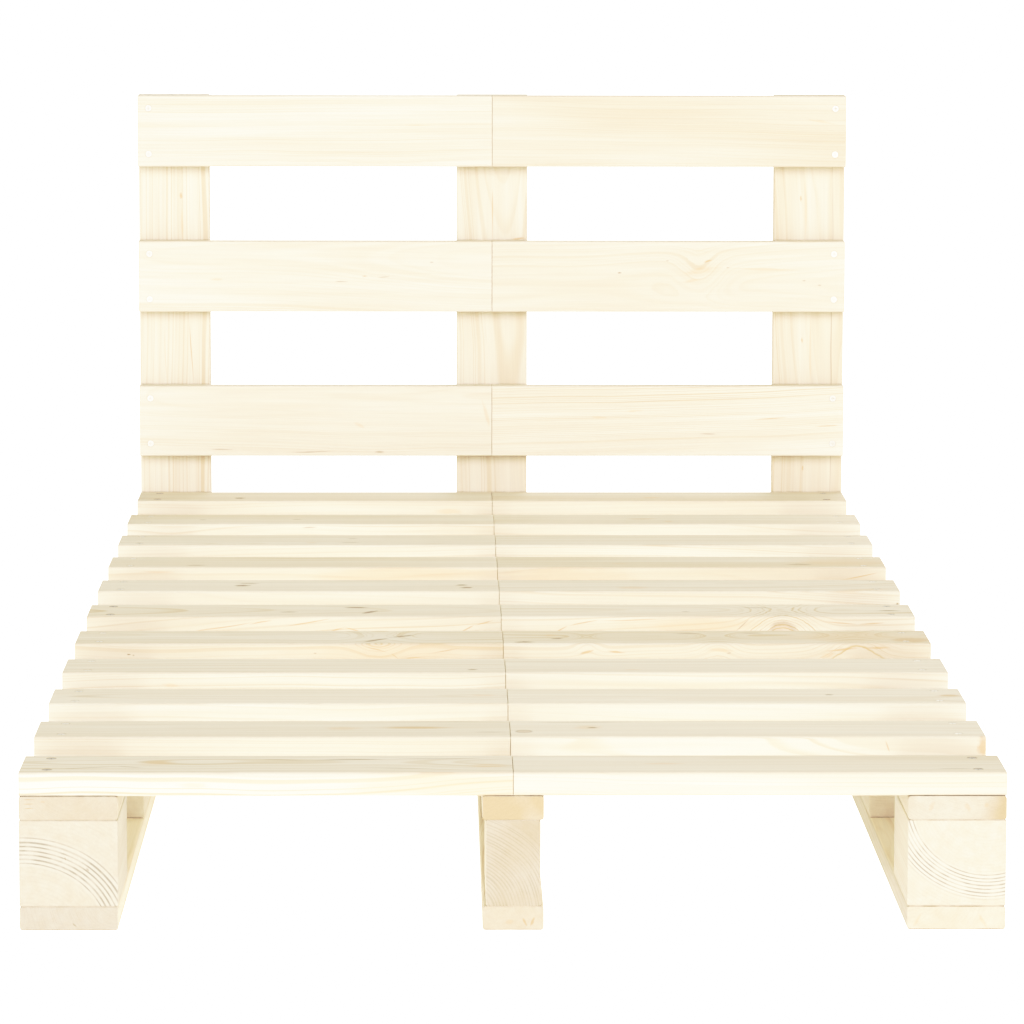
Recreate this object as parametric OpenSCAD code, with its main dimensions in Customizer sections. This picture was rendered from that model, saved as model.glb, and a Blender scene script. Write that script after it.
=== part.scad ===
// Pallet bed: a slatted deck on three runners of pallet blocks, with a slatted headboard
// on three posts. Every slat and headboard board is two half boards that meet on the
// centre line. Millimetres, +Z up. The origin is on the floor under the middle of the
// whole bed. The foot end faces -Y, the headboard +Y, and left is -X.

/* [Bed] */
// Width across the slats, which is the width of the mattress
bed_w = 900; // [800:10:1200]
// Length in front of the headboard, which is the length of the mattress
mattress_l = 2000; // [1900:10:2200]
// Rows of slats, the last of them at the frame's head end
slat_rows = 11; // [9:1:11]
// Distance from the last row but one to the last; the other rows share the rest evenly
last_pitch = 222; // [170:1:240]
// Gap where two half boards, or the front and rear half of a runner, meet
seam_gap = 0.3; // [0.2:0.1:2]

/* [Boards] */
// Width of the slats, posts, headboard boards and outer runner boards
board_w = 90; // [80:1:100]
// Thickness of every board
board_t = 22; // [20:1:28]
// Rounding along the long edges of the slats and of the runners' boards
board_r = 3; // [1:0.5:6]
// Chamfer round the sawn ends of boards and blocks
end_ease = 0.5; // [0.2:0.1:1]

/* [Runners] */
// Height of the blocks between the bottom and the top boards
block_h = 80; // [60:1:110]
// Length of a block along the runner
block_l = 145; // [100:5:180]
// Blocks in each half of a runner
blocks = 3; // [2:1:4]
// Rounding along the long edges of the blocks
block_r = 2; // [1:0.5:5]
// Width of the centre runner's boards
centre_board_w = 56; // [50:1:90]
// Width of the centre runner's blocks
centre_block_w = 50; // [46:1:56]

/* [Headboard] */
// Height of the headboard above the floor
head_h = 655; // [610:5:900]
// Rows of boards across the headboard
head_rows = 3; // [2:1:3]
// Open gap between two rows
head_gap = 95; // [60:1:110]
// Rounding along the long edges of the posts and of the boards on them
head_r = 2; // [1:0.5:5]

/* [Board screws] */
// Diameter of the shank
screw_d = 4; // [3:0.5:5]
// Diameter of the countersunk head
screw_head_d = 8; // [7:0.5:9]
// Depth that a screw bites into the second board
screw_bite = 18; // [12:1:18]
// Distance between the two screws at a board's end, across the board
screw_spread = 58; // [40:1:60]
// Distance of the slats' outer screws from the bed's side
slat_screw_in = 25; // [18:1:30]
// Distance of the headboard's outer screws from the bed's side
head_screw_in = 14; // [10:1:30]
// Distance of the inner screws from the centre line
centre_screw_x = 14; // [11:1:18]

/* [Block screws] */
// Diameter of the shank
long_d = 6; // [5:0.5:7]
// Diameter of the countersunk head
long_head_d = 12; // [10:0.5:13]
// Depth that a block's screw bites into the top board
long_bite = 18; // [12:1:18]
// Distance of a block's screws from the ends of the block
long_end = 32; // [20:1:40]
// Depth that a post's screw bites into the rear block
post_bite = 58; // [40:1:70]
// Distance of a post's two screws from the middle of the post
post_screw_x = 15; // [12:1:16]

/* [Fits] */
// Height of the straight rim of a screw's head
head_rim = 0.4; // [0.2:0.1:0.8]
// Clearance round a screw in its bore
bore_gap = 0.1; // [0.05:0.05:0.3]
// Depth of the board screws' heads under the surface
head_sink = 0.3; // [0.1:0.1:1]
// Depth of the block screws' heads under the bottom boards
long_sink = 1; // [0.5:0.5:3]

/* [Hidden] */
$fn = 32;
through = 1;
recess_span = 0.55;
recess_slot = 0.13;
recess_depth = 0.4;
left = -1;
centre = 0;
right = 1;
sides = [left, right];
runners = [left, centre, right];
foot = -1;
head = 1;
runner_ends = [foot, head];

frame_l = mattress_l + board_t;
front_y = -(frame_l + board_t) / 2;
frame_end_y = front_y + frame_l;
back_y = frame_end_y + board_t;
half_w = (bed_w - seam_gap) / 2;
slat_pitch = (frame_l - board_w - last_pitch) / (slat_rows - 2);
runner_half_l = (frame_l - seam_gap) / 2;
block_pitch = (runner_half_l - block_l) / (blocks - 1);
head_pitch = board_w + head_gap;

block_z = board_t;
top_board_z = block_z + block_h;
slat_z = top_board_z + board_t;
deck_z = slat_z + board_t;
board_screw_l = board_t + screw_bite;
block_screw_l = board_t + block_h + long_bite;
post_screw_l = board_t + post_bite;

function side_name(side) = side == left ? "left" : side == right ? "right" : "centre";
function two_digits(n) = n < 10 ? str("0", n) : str(n);
function runner_x(side) = side * (bed_w - board_w) / 2;
function runner_board_w(side) = side == centre ? centre_board_w : board_w;
function block_w(side) = side == centre ? centre_block_w : board_w;
function runner_half_y(end) = end == foot ? front_y : frame_end_y - runner_half_l;
function slat_y(row) = row == slat_rows
    ? frame_end_y - board_w / 2
    : front_y + board_w / 2 + (row - 1) * slat_pitch;
function head_row_z(row) = head_h - board_w - (row - 1) * head_pitch;
function block_y(n) = n <= blocks
    ? front_y + block_l / 2 + (n - 1) * block_pitch
    : frame_end_y - block_l / 2 - (2 * blocks - n) * block_pitch;

function slat_name(side, row) = str("slat_", side_name(side), "_", two_digits(row));
function head_name(side, row) = str("headboard_board_", side_name(side), "_", row);
function block_name(side, n) = str("block_", side_name(side), "_", n);
function post_name(side) = str("post_", side_name(side));
function top_name(side) = str("top_boards_", side_name(side));
function bottom_name(side) = str("bottom_boards_", side_name(side));

// Planed section, w wide and t thick with rounded corners, standing on the X axis
module planed_section(w, t, r) {
    translate([r - w / 2, 0]) square([w - 2 * r, t]);
    translate([-w / 2, r]) square([w, t - 2 * r]);
    for (x = [r - w / 2, w / 2 - r], y = [r, t - r]) translate([x, y]) circle(r);
}

// Rectangle from the origin to [l, w] with its corners cut
module eased_rectangle(l, w) {
    e = end_ease;
    polygon([[e, 0], [l - e, 0], [l, e], [l, w - e], [l - e, w], [e, w], [0, w - e], [0, e]]);
}

// Planed bar that runs along +X from the origin, centred on Y, with its underside at z = 0
module bar(l, w, t, r) {
    intersection() {
        rotate([90, 0, 90]) linear_extrude(l) planed_section(w, t, r);
        translate([0, -w / 2, -through]) linear_extrude(t + 2 * through) eased_rectangle(l, w);
        translate([0, w / 2 + through, 0]) rotate([90, 0, 0])
            linear_extrude(w + 2 * through) eased_rectangle(l, t);
    }
}

// Countersunk screw that points down from the origin, with a cross recess in its head
module screw(d, head_d, l) {
    slot = [head_d * recess_span, head_d * recess_slot, d * recess_depth];
    difference() {
        rotate_extrude() polygon([
            [0, 0], [head_d / 2, 0], [head_d / 2, -head_rim],
            [d / 2, -head_rim - (head_d - d) / 2], [d / 2, -l + d], [0, -l]
        ]);
        for (turn = [0, 90]) rotate(turn)
            translate([-slot.x / 2, -slot.y / 2, -slot.z]) cube([slot.x, slot.y, slot.z + through]);
    }
}

// Bore for the same screw: its head seats on the countersink and its shank has clearance
module screw_bore(d, head_d, l, sink) {
    wall = d / 2 + bore_gap;
    rotate_extrude() polygon([
        [0, sink + through], [head_d / 2 + bore_gap, sink + through],
        [head_d / 2 + bore_gap, bore_gap - head_rim],
        [wall, -head_rim - (head_d / 2 - wall)], [wall, -l + d], [0, -l - bore_gap]
    ]);
}

// Each place below holds either the screws or their bores, so both share one position.
// Slat screws go down through a slat's outer end into the outer top board.
module at_slat_screws(side, row) {
    for (y = [-screw_spread / 2, screw_spread / 2])
        translate([side * (bed_w / 2 - slat_screw_in), slat_y(row) + y, deck_z - head_sink])
            children();
}

// Centre screws go up through the centre top board into a slat's inner end
module at_centre_screws(side, row) {
    for (y = [-screw_spread / 2, screw_spread / 2])
        translate([side * centre_screw_x, slat_y(row) + y, top_board_z + head_sink])
            mirror([0, 0, 1]) children();
}

// Outer headboard screws go back through a board into the outer post
module at_head_front_screws(side, row) {
    for (z = [-screw_spread / 2, screw_spread / 2])
        translate([
            side * (bed_w / 2 - head_screw_in),
            frame_end_y - board_t + head_sink,
            head_row_z(row) + board_w / 2 + z
        ]) rotate([90, 0, 0]) children();
}

// Inner headboard screws come forward through the centre post into a board
module at_head_back_screws(side, row) {
    for (z = [-screw_spread / 2, screw_spread / 2])
        translate([side * centre_screw_x, back_y - head_sink, head_row_z(row) + board_w / 2 + z])
            rotate([-90, 0, 0]) children();
}

// Block screws go up through the bottom board and the block into the top board
module at_block_screws(side, n) {
    for (y = [long_end - block_l / 2, block_l / 2 - long_end])
        translate([runner_x(side), block_y(n) + y, long_sink]) mirror([0, 0, 1]) children();
}

// Post screws come forward through a post into the end of the last block
module at_post_screws(side) {
    for (x = [-post_screw_x, post_screw_x])
        translate([runner_x(side) + x, back_y - head_sink, block_z + block_h / 2])
            rotate([-90, 0, 0]) children();
}

module board_screw() { screw(screw_d, screw_head_d, board_screw_l); }
module board_bore() { screw_bore(screw_d, screw_head_d, board_screw_l, head_sink); }
module block_bore() { screw_bore(long_d, long_head_d, block_screw_l, long_sink); }
module post_bore() { screw_bore(long_d, long_head_d, post_screw_l, head_sink); }

// Half slat, from the bed's side to the seam on the centre line
module half_slat(side, row) {
    color("Cornsilk") difference() {
        translate([side == left ? -bed_w / 2 : seam_gap / 2, slat_y(row), slat_z])
            bar(half_w, board_w, board_t, board_r);
        at_slat_screws(side, row) board_bore();
        at_centre_screws(side, row) board_bore();
    }
}

// The two boards of a runner at height z, one for each half of its length
module runner_boards(side, z) {
    for (end = runner_ends)
        translate([runner_x(side), runner_half_y(end), z]) rotate(90)
            bar(runner_half_l, runner_board_w(side), board_t, board_r);
}

module top_boards(side) {
    color("BlanchedAlmond") difference() {
        runner_boards(side, top_board_z);
        for (row = [1 : slat_rows], slat_side = sides)
            if (side == centre) at_centre_screws(slat_side, row) board_bore();
            else if (side == slat_side) at_slat_screws(side, row) board_bore();
        for (n = [1 : 2 * blocks]) at_block_screws(side, n) block_bore();
    }
}

module block(side, n) {
    color("Wheat") difference() {
        translate([runner_x(side), block_y(n) - block_l / 2, block_z]) rotate(90)
            bar(block_l, block_w(side), block_h, block_r);
        at_block_screws(side, n) block_bore();
        if (n == 2 * blocks) at_post_screws(side) post_bore();
    }
}

module bottom_boards(side) {
    color("BlanchedAlmond") difference() {
        runner_boards(side, 0);
        for (n = [1 : 2 * blocks]) at_block_screws(side, n) block_bore();
    }
}

// Half board of the headboard; row 1 is at the top, flush with the posts
module headboard_board(side, row) {
    color("OldLace") difference() {
        translate([
            side == left ? -bed_w / 2 : seam_gap / 2,
            frame_end_y,
            head_row_z(row) + board_w / 2
        ]) rotate([90, 0, 0]) bar(half_w, board_w, board_t, head_r);
        at_head_front_screws(side, row) board_bore();
        at_head_back_screws(side, row) board_bore();
    }
}

// Post from the floor to the top of the headboard, against the end of the runner
module post(side) {
    color("AntiqueWhite") difference() {
        translate([runner_x(side), frame_end_y, 0]) rotate([0, -90, -90])
            bar(head_h, board_w, board_t, head_r);
        at_post_screws(side) post_bore();
        for (row = [1 : head_rows], board_side = sides)
            if (side == centre) at_head_back_screws(board_side, row) board_bore();
            else if (side == board_side) at_head_front_screws(side, row) board_bore();
    }
}

module slat_screws() {
    color("Silver") for (side = sides, row = [1 : slat_rows])
        at_slat_screws(side, row) board_screw();
}

module centre_screws() {
    color("Silver") for (side = sides, row = [1 : slat_rows])
        at_centre_screws(side, row) board_screw();
}

module headboard_screws() {
    color("Silver") for (side = sides, row = [1 : head_rows]) {
        at_head_front_screws(side, row) board_screw();
        at_head_back_screws(side, row) board_screw();
    }
}

module block_screws() {
    color("Silver") for (side = runners, n = [1 : 2 * blocks])
        at_block_screws(side, n) screw(long_d, long_head_d, block_screw_l);
}

module post_screws() {
    color("Silver") for (side = runners)
        at_post_screws(side) screw(long_d, long_head_d, post_screw_l);
}

for (side = sides, row = [1 : slat_rows])
    half_slat(side, row);
for (side = runners)
    top_boards(side);
for (side = runners, n = [1 : 2 * blocks])
    block(side, n);
for (side = runners)
    bottom_boards(side);
for (side = sides, row = [1 : head_rows])
    headboard_board(side, row);
for (side = runners)
    post(side);
slat_screws();
centre_screws();
headboard_screws();
block_screws();
post_screws();
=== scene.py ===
"""Looks of a pallet bed in untreated pine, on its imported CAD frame. Metres; X right, Y to the head, Z up."""

import math
import random

import bpy
from mathutils import Euler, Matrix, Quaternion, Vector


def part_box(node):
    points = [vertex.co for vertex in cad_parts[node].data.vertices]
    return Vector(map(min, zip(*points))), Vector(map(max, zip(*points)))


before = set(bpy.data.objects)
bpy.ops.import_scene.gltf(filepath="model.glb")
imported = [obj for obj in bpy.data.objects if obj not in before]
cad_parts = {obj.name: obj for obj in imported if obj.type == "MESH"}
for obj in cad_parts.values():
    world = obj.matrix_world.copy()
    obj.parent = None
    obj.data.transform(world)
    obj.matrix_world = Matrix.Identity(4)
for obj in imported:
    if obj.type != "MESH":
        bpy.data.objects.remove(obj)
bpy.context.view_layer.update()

# Camera at the photograph's angle: low, far off the foot end, with a long lens. Its angles are in degrees,
# and its lens and sensor in millimetres.
CAMERA_PLACE = (-0.0677, -5.8061, 1.0119)
CAMERA_YAW, CAMERA_PITCH, CAMERA_ROLL = 0.791, 7.466, 0.099
LENS, SENSOR = 187.74, 36.0
CLIP_START, CLIP_END = 0.1, 500.0

# Studio: white surroundings, a soft key from the foot end, fills from both sides and one from behind.
SKY_STRENGTH, SKY_TINT = 0.67, (1.0, 1.0, 0.93)
SUNS = {  # strength, colour, height in degrees, turn about Z, apparent size
    "key": (1.35, (1.0, 1.0, 1.16), 22.0, -4.0, 30.0),
    "right_fill": (1.12, (1.0, 1.0, 1.22), 7.0, 42.0, 50.0),
    "left_fill": (0.74, (1.0, 1.0, 1.22), 7.0, -42.0, 50.0),
    "back_fill": (0.9, (1.0, 1.0, 1.0), 35.0, 160.0, 40.0),
}

# The floor: half its width, how far it lies under the part, its own white, its glow, and how much whiter
# than that the camera sees it. Then how white the camera sees the backdrop.
FLOOR_HALF, FLOOR_DROP = 60.0, 0.0005
FLOOR_WHITE, FLOOR_GLOW, FLOOR_LIFT, BACKDROP_WHITE = 0.80, 0.80, 0.60, 1.5

# Display response: scene light, as a share of FILM_WHITE, and what shows. Highlights roll off softly.
FILM_WHITE = 1.5
FILM_SHOULDER = ((0.0, 0.0), (0.25, 0.385), (0.375, 0.60), (0.50, 0.76), (0.675, 0.93), (0.80, 0.985),
                 (0.95, 1.0))

# Linear colours of pine: spring wood, summer wood on a side and on an end, knots, and brown and warm marks.
# The brown also paints the shade at joints and round the screws.
PALE = (0.780, 0.714, 0.553)
SUMMER = (0.600, 0.455, 0.260)
SUMMER_END = (0.360, 0.310, 0.225)
KNOT = (0.420, 0.235, 0.105)
KNOT_RIM = (0.250, 0.130, 0.055)
BROWN = (0.290, 0.195, 0.105)
WARM = (0.700, 0.450, 0.220)

# How fast each kind of grain changes across and along the trunk, and the years' widths across it, per metre.
WAVER_RATE = (6.0, 6.0, 2.6)
DRIFT_RATE = (14.0, 14.0, 2.2)
PATCH_RATE = (70.0, 70.0, 20.0)
STREAK_RATE = (110.0, 110.0, 3.0)
CANAL_RATE = (240.0, 240.0, 26.0)
FIBRE_RATE = (620.0, 620.0, 9.0)
YEAR_RATE = 40.0

# The middle of noise in three directions, and how far it makes the rings waver, in metres.
NOISE_MIDDLE, WAVER_REACH = (0.5, 0.5, 0.5), 0.022

# The share of a year at which summer wood comes and goes: on a board's side, and as a line on its sawn end.
LATE_COMES, LATE_GOES = (0.48, 0.84), (0.88, 1.0)
LINE_COMES, LINE_GOES = (0.40, 0.66), (0.74, 0.96)

# Rings on the sides: how strong the faintest is, how drifts of tone make them fainter and stronger, and how
# much stronger they are at a knot, where it pushes them this far, in metres.
FAINTEST_RING, SIDE_DRIFT, SIDE_STRENGTH = 0.20, (0.30, 0.70), (0.25, 1.45)
RING_AT_KNOT, KNOT_PUSH = 2.2, 0.02

# Lines on the sawn ends: how dark the usual ones are, how much darker the bold ones, how pale the wood is
# between the bold ones, and how the lines fade in patches. Bold lines come and go over these distances.
END_LINE, END_LINE_BOLD, END_PALE = 0.06, 0.78, 0.55
PATCH_SPAN, PATCH_FAINT = (0.35, 0.62), 0.35
BOLD_COMES, BOLD_GOES = (-0.002, 0.002), (-0.002, 0.004)

# How much of the summer wood's colour streaks and sawn ends have, and where drifts warm the wood.
STREAK_SPAN, STREAK_SHARE, END_SHARE = (0.30, 0.75), 0.32, 0.22
WARM_DRIFT = (0.25, 0.75)

# Resin canals: where one ends in its cell, how strongly it shows, and the drifts that have any.
CANAL_EDGE, CANAL_SHARE, CANAL_DRIFT = (0.07, 0.12), 0.35, (0.50, 0.62)

# Fibres from valley to crest: their noise, brightness and roughness. Then the bump's strength and height and
# the wood's sheen.
FIBRE_SPAN, FIBRE_SHADE, FIBRE_ROUGH = (0.2, 0.8), (0.950, 1.04), (0.58, 0.74)
PINE_BUMP, PINE_BUMP_HEIGHT, PINE_SPECULAR = 0.5, 0.0003, 0.25

# A knot's outline: how fine and how strong its raggedness is, and, as shares of its radius, where the knot
# fades out and where its dark rim comes and goes. Then how fast the rings straighten beyond it.
KNOT_RAG_RATE, KNOT_RAG, KNOT_FADE = 90.0, 0.5, (0.75, 1.15)
RIM_COMES, RIM_GOES, BEND_FADE = (0.7, 1.0), (1.0, 1.4), 0.42

# A mark's outline in the same way, as shares of its half size. Then how its place sways, in metres.
MARK_RAG_RATE, MARK_RAG, MARK_FADE, MARK_SEED_STEP = 1.7, 1.1, (0.35, 1.05), 3.7
MARK_SWAY_RATE, MARK_SWAY = 9.0, 0.006

GRAIN_X, GRAIN_Y, GRAIN_Z = (1, 0, 0), (0, 1, 0), (0, 0, 1)


class Tree:
    """Adds nodes to one node tree. A value is a number, a tuple or another node's output."""

    def __init__(self, tree):
        self.tree = tree

    def feed(self, socket, value):
        """Links the value to the socket if it is another node's output, and sets it there otherwise."""
        if isinstance(value, bpy.types.NodeSocket):
            self.tree.links.new(value, socket)
        elif value is not None:
            socket.default_value = value

    def add(self, kind, inputs=(), **settings):
        """A new node of this kind, with its settings and its inputs by name or number."""
        node = self.tree.nodes.new(kind)
        for name, value in settings.items():
            setattr(node, name, value)
        for name, value in dict(inputs).items():
            self.feed(node.inputs[name], value)
        return node

    def math(self, operation, a, b=None, c=None, clamp=False):
        """The result of a Math node."""
        node = self.add("ShaderNodeMath", {0: a}, operation=operation, use_clamp=clamp)
        if b is not None:
            self.feed(node.inputs[1], b)
        if c is not None:
            self.feed(node.inputs[2], c)
        return node.outputs[0]

    def vector(self, operation, a, b=None, scale=None):
        """The result of a Vector Math node, which is a single number for a length or a dot product."""
        node = self.add("ShaderNodeVectorMath", {0: a}, operation=operation)
        if b is not None:
            self.feed(node.inputs[1], b)
        if scale is not None:
            self.feed(node.inputs["Scale"], scale)
        return node.outputs["Value" if operation in ("LENGTH", "DOT_PRODUCT") else "Vector"]

    def ramp(self, value, low, high, to_low=0.0, to_high=1.0, soft=True):
        """value from low..high to to_low..to_high, clamped, with soft shoulders unless soft is false."""
        node = self.add("ShaderNodeMapRange", {"Value": value, "From Min": low, "From Max": high,
                                               "To Min": to_low, "To Max": to_high},
                        interpolation_type="SMOOTHSTEP" if soft else "LINEAR")
        return node.outputs["Result"]

    def noise(self, place, scale=1.0, detail=2.0, seed=None, colour=False):
        """Noise at a place. With a seed, other boards get other noise there."""
        node = self.add("ShaderNodeTexNoise", {"Vector": place, "Scale": scale, "Detail": detail},
                        noise_dimensions="3D" if seed is None else "4D")
        if seed is not None:
            self.feed(node.inputs["W"], seed)
        return node.outputs["Color" if colour else "Fac"]

    def mix(self, share, a, b):
        """Two colours mixed, with this share of the second. Mix has several A and B, and 6 and 7 are the
        colours."""
        node = self.add("ShaderNodeMix", {"Factor": share}, data_type="RGBA")
        self.feed(node.inputs[6], a)
        self.feed(node.inputs[7], b)
        return node.outputs[2]


def colour(rgb):
    """An opaque colour, as a socket takes it."""
    return (*rgb, 1.0)


def group(name, takes, gives):
    """A new node group and its Tree. takes holds (name, kind, default) and gives (name, kind)."""
    made = bpy.data.node_groups.new(name, "ShaderNodeTree")
    for title, kind, default in takes:
        socket = made.interface.new_socket(title, in_out="INPUT", socket_type=kind)
        if default is not None:
            socket.default_value = default
    for title, kind in gives:
        made.interface.new_socket(title, in_out="OUTPUT", socket_type=kind)
    tree = Tree(made)
    start = tree.add("NodeGroupInput")
    end = tree.add("NodeGroupOutput")
    return made, tree, start.outputs, end.inputs


def make_knot_group():
    """A knot that runs straight through a board: how much of a point is knot, its dark rim, and how far
    the growth rings bend round it. Flat is 1 along the axes that matter and 0 along the knot's own."""
    made, t, given, out = group(
        "pine_knot",
        [("Place", "NodeSocketVector", None), ("Centre", "NodeSocketVector", None),
         ("Flat", "NodeSocketVector", None), ("Radius", "NodeSocketFloat", 0.01),
         ("Dark", "NodeSocketFloat", 1.0), ("Bend", "NodeSocketFloat", 1.0),
         ("Knot", "NodeSocketFloat", 0.0), ("Rim", "NodeSocketFloat", 0.0),
         ("Push", "NodeSocketFloat", 0.0)],
        [("Knot", "NodeSocketFloat"), ("Rim", "NodeSocketFloat"), ("Push", "NodeSocketFloat")])
    away = t.vector("MULTIPLY", t.vector("SUBTRACT", given["Place"], given["Centre"]), given["Flat"])
    ragged = t.noise(given["Place"], scale=KNOT_RAG_RATE, detail=3.0)
    near = t.math("DIVIDE", t.vector("LENGTH", away), given["Radius"])
    near = t.math("ADD", near, t.math("MULTIPLY", t.math("SUBTRACT", ragged, 0.5), KNOT_RAG))
    core = t.math("MULTIPLY", t.ramp(near, *KNOT_FADE, 1.0, 0.0), given["Dark"])
    ring = t.math("MULTIPLY", t.ramp(near, *RIM_COMES), t.ramp(near, *RIM_GOES, 1.0, 0.0))
    ring = t.math("MULTIPLY", ring, given["Dark"])
    fall = t.math("POWER", t.math("MULTIPLY", near, BEND_FADE), 2.0)
    spread = t.math("EXPONENT", t.math("MULTIPLY", fall, -1.0))
    bend = t.math("MULTIPLY", t.math("MULTIPLY", spread, given["Radius"]), given["Bend"])
    t.feed(out["Knot"], t.math("MAXIMUM", core, given["Knot"]))
    t.feed(out["Rim"], t.math("MAXIMUM", ring, given["Rim"]))
    t.feed(out["Push"], t.math("ADD", bend, given["Push"]))
    return made


def make_mark_group():
    """A soft, ragged streak or blotch. Spot is the place in the mark's own frame, where its edge is at 1."""
    made, t, given, out = group(
        "pine_mark",
        [("Spot", "NodeSocketVector", None), ("Seed", "NodeSocketFloat", 0.0),
         ("Mark brown", "NodeSocketFloat", 0.5), ("Mark warm", "NodeSocketFloat", 0.5),
         ("Brown", "NodeSocketFloat", 0.0), ("Warm", "NodeSocketFloat", 0.0)],
        [("Brown", "NodeSocketFloat"), ("Warm", "NodeSocketFloat")])
    ragged = t.noise(given["Spot"], scale=MARK_RAG_RATE, detail=3.0, seed=given["Seed"])
    ragged = t.math("SUBTRACT", ragged, 0.5)
    near = t.math("MULTIPLY_ADD", ragged, MARK_RAG, t.vector("LENGTH", given["Spot"]))
    share = t.ramp(near, *MARK_FADE, 1.0, 0.0)
    for title in ("Brown", "Warm"):
        mark = t.math("MULTIPLY", share, given["Mark " + title.lower()])
        t.feed(out[title], t.math("MAXIMUM", mark, given[title]))
    return made


def make_pine_group():
    """Solid pine. Log is the place in its tree's trunk, with the grain along Z and the pith at 0, so the
    rings run through a board and come out on its sides and ends as they do in sawn wood."""
    made, t, given, out = group(
        "solid_pine",
        [("Log", "NodeSocketVector", None), ("End", "NodeSocketFloat", 0.0),
         ("Seed", "NodeSocketFloat", 0.0),
         ("Spacing", "NodeSocketFloat", 0.003), ("Contrast", "NodeSocketFloat", 0.5),
         ("Wave", "NodeSocketFloat", 1.0), ("Uneven", "NodeSocketFloat", 2.2),
         ("Bold from", "NodeSocketFloat", 0.0), ("Bold to", "NodeSocketFloat", 0.0),
         ("Bold strength", "NodeSocketFloat", 1.0),
         ("Warmth", "NodeSocketFloat", 0.0), ("Shade", "NodeSocketFloat", 1.0),
         ("Knot", "NodeSocketFloat", 0.0), ("Rim", "NodeSocketFloat", 0.0),
         ("Push", "NodeSocketFloat", 0.0),
         ("Brown", "NodeSocketFloat", 0.0), ("Warm", "NodeSocketFloat", 0.0)],
        [("Color", "NodeSocketColor"), ("Roughness", "NodeSocketFloat"), ("Height", "NodeSocketFloat")])
    log, seed, end = given["Log"], given["Seed"], given["End"]

    # Rings waver along the trunk, and some years are wider than others.
    waver = t.noise(t.vector("MULTIPLY", log, WAVER_RATE), detail=2.0, seed=seed, colour=True)
    waver = t.vector("SUBTRACT", waver, NOISE_MIDDLE)
    waver = t.vector("MULTIPLY", waver, (WAVER_REACH, WAVER_REACH, 0.0))
    waver = t.vector("SCALE", waver, scale=given["Wave"])
    radius = t.vector("LENGTH", t.vector("MULTIPLY", t.vector("ADD", log, waver), (1.0, 1.0, 0.0)))
    radius = t.math("ADD", radius, given["Push"])
    wide_years = t.math("MULTIPLY_ADD", radius, YEAR_RATE, seed)
    uneven = t.add("ShaderNodeTexNoise", {"W": wide_years, "Detail": 1.0}, noise_dimensions="1D")
    years = t.math("DIVIDE", radius, given["Spacing"])
    years = t.math("ADD", years, t.math("MULTIPLY", uneven.outputs["Fac"], given["Uneven"]))
    part = t.math("FRACT", years)
    late = t.math("MULTIPLY", t.ramp(part, *LATE_COMES), t.ramp(part, *LATE_GOES, 1.0, 0.0))
    strong = t.add("ShaderNodeTexWhiteNoise", {"W": t.math("ADD", t.math("FLOOR", years), seed)},
                   noise_dimensions="1D").outputs["Value"]
    varied = t.math("MULTIPLY", late, t.ramp(strong, 0.0, 1.0, FAINTEST_RING, 1.0, soft=False))
    bold = t.math("MULTIPLY",
                  t.ramp(t.math("SUBTRACT", radius, given["Bold from"]), *BOLD_COMES),
                  t.ramp(t.math("SUBTRACT", radius, given["Bold to"]), *BOLD_GOES, 1.0, 0.0))

    # Fibres, and slow drifts of tone along the grain.
    fibre = t.noise(t.vector("MULTIPLY", log, FIBRE_RATE), detail=3.0, seed=seed)
    streak = t.noise(t.vector("MULTIPLY", log, STREAK_RATE), detail=2.0, seed=seed)
    drift = t.noise(t.vector("MULTIPLY", log, DRIFT_RATE), detail=2.0, seed=seed)
    canal = t.add("ShaderNodeTexVoronoi", {"Vector": t.vector("MULTIPLY", log, CANAL_RATE)},
                  feature="F1").outputs["Distance"]
    canal = t.math("MULTIPLY", t.ramp(canal, *CANAL_EDGE, 1.0, 0.0), t.ramp(drift, *CANAL_DRIFT))

    # Rings on the sides, which bend and darken at a knot.
    side = t.math("MULTIPLY", varied, given["Contrast"])
    side = t.math("MULTIPLY", side, t.ramp(drift, *SIDE_DRIFT, *SIDE_STRENGTH, soft=False))
    side = t.math("MULTIPLY", side, t.ramp(given["Push"], 0.0, KNOT_PUSH, 1.0, RING_AT_KNOT), clamp=True)

    # Rings on the sawn ends: faint lines, and bold ones with paler wood between.
    bold = t.math("MULTIPLY", bold, given["Bold strength"])
    line = t.math("MULTIPLY", t.ramp(part, *LINE_COMES), t.ramp(part, *LINE_GOES, 1.0, 0.0))
    patchy = t.noise(t.vector("MULTIPLY", log, PATCH_RATE), detail=2.0, seed=seed)
    line = t.math("MULTIPLY", line, t.ramp(patchy, *PATCH_SPAN, PATCH_FAINT, 1.0))
    ends = t.math("MULTIPLY", line, t.math("MULTIPLY_ADD", bold, END_LINE_BOLD, END_LINE))
    pale = t.math("MULTIPLY", bold, t.ramp(line, 0.0, 0.5, END_PALE, 0.0))

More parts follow.
